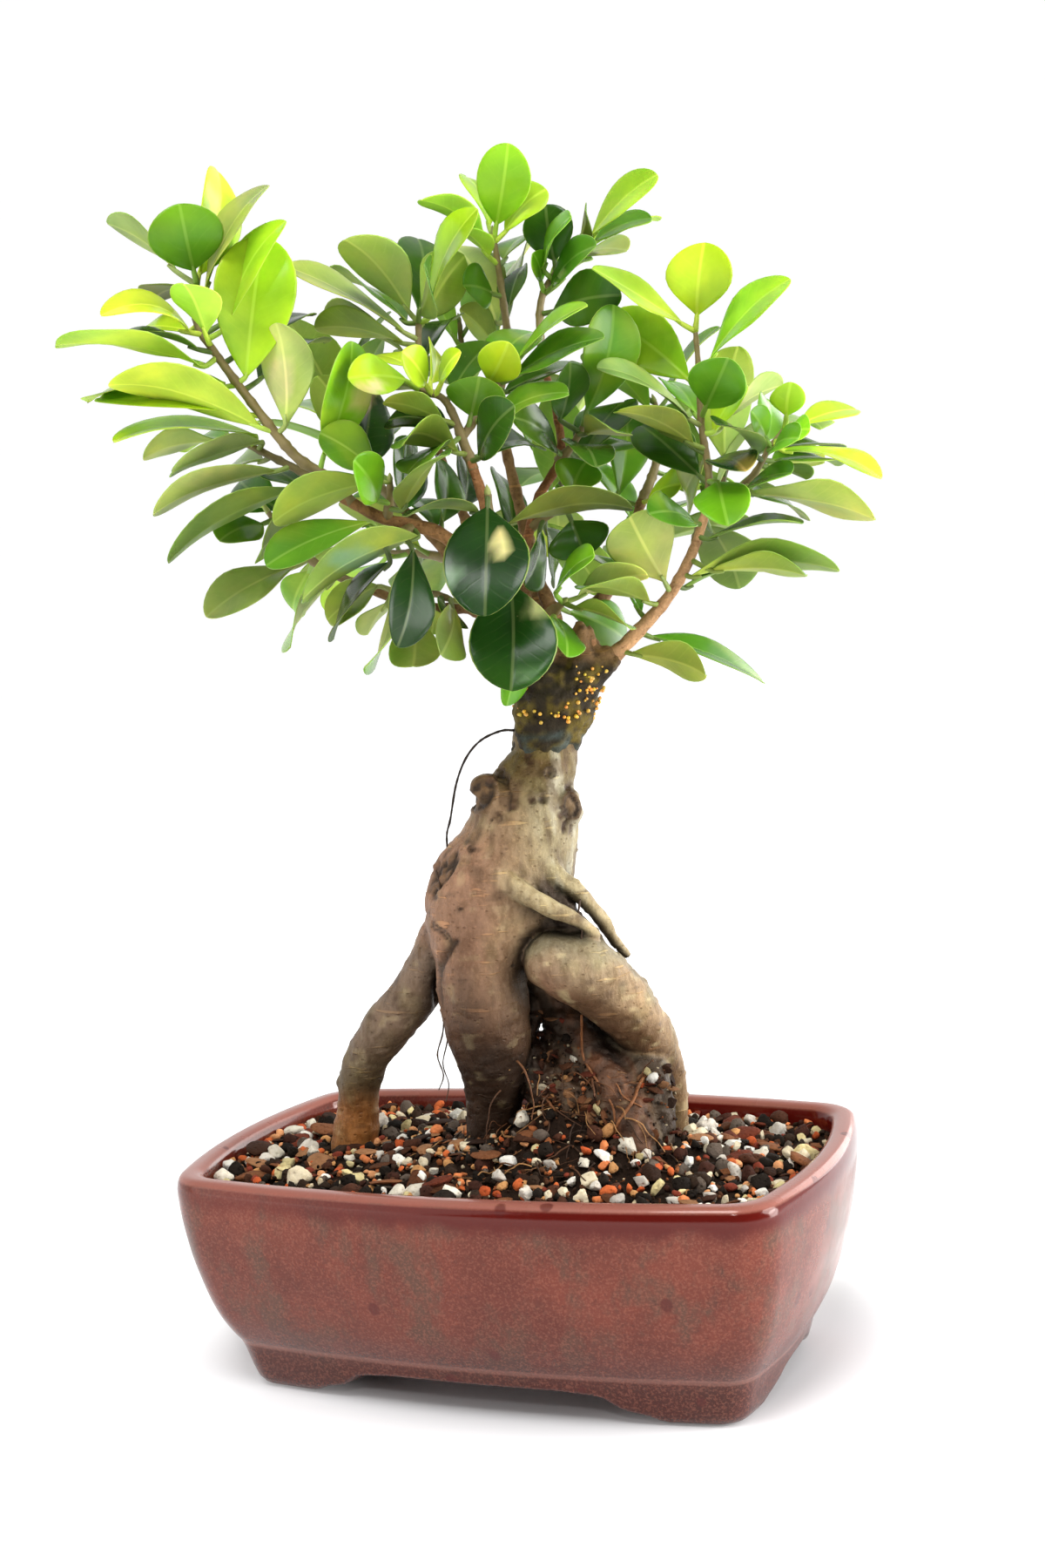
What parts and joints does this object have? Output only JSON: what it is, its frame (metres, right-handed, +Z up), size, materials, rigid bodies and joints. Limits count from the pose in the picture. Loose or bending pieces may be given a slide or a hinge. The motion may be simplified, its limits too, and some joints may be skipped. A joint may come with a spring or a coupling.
{
  "type": "ficus ginseng bonsai in a glazed pot",
  "caption": "Ficus ginseng bonsai with a swollen forked rootstock, a grafted leafy crown and a footed rectangular glazed pot of gritty soil.",
  "frame": {"origin": "middle of the bounding box, at the bottom of the pot feet", "axes": "+Z up; X along the long side of the pot, +X to the right of its front; +Y to the back, so the front faces -Y"},
  "size_m": [0.2586, 0.22, 0.423],
  "materials": {
    "glaze": "semi-gloss mottled red-brown glaze",
    "screen": "matt black drainage mesh",
    "soil": "gritty mix of pumice, fired clay and bark",
    "bark": "smooth beige-grey bark",
    "scion_bark": "matt brown bark",
    "young_leaf": "glossy leathery leaf, lime green",
    "mature_leaf": "glossy leathery leaf, deep green"
  },
  "bodies": {
    "root": {"pot": "glaze", "drain_screen_left": "screen", "drain_screen_right": "screen", "soil": "soil", "rootstock": "bark", "scion_wood": "scion_bark", "shoot_upper_left": "young_leaf", "shoot_left_side": "mature_leaf", "shoot_left_low": "mature_leaf", "shoot_left_front": "mature_leaf", "shoot_left_inner": "mature_leaf", "shoot_lower_left": "mature_leaf", "shoot_mid_left_upper": "mature_leaf", "shoot_top": "young_leaf", "shoot_top_right": "young_leaf", "shoot_centre_right": "mature_leaf", "shoot_centre_front": "young_leaf", "shoot_front_low": "mature_leaf", "shoot_front_base": "mature_leaf", "shoot_centre_low": "mature_leaf", "shoot_low_middle": "mature_leaf", "shoot_right_top": "young_leaf", "shoot_right_cluster": "young_leaf", "shoot_back_left": "mature_leaf", "shoot_back_left_low": "mature_leaf", "shoot_back_right": "mature_leaf", "shoot_back_right_low": "mature_leaf", "shoot_back_centre": "mature_leaf", "shoot_back_upper": "mature_leaf", "shoot_right_back": "mature_leaf"}
  },
  "joints": []
}
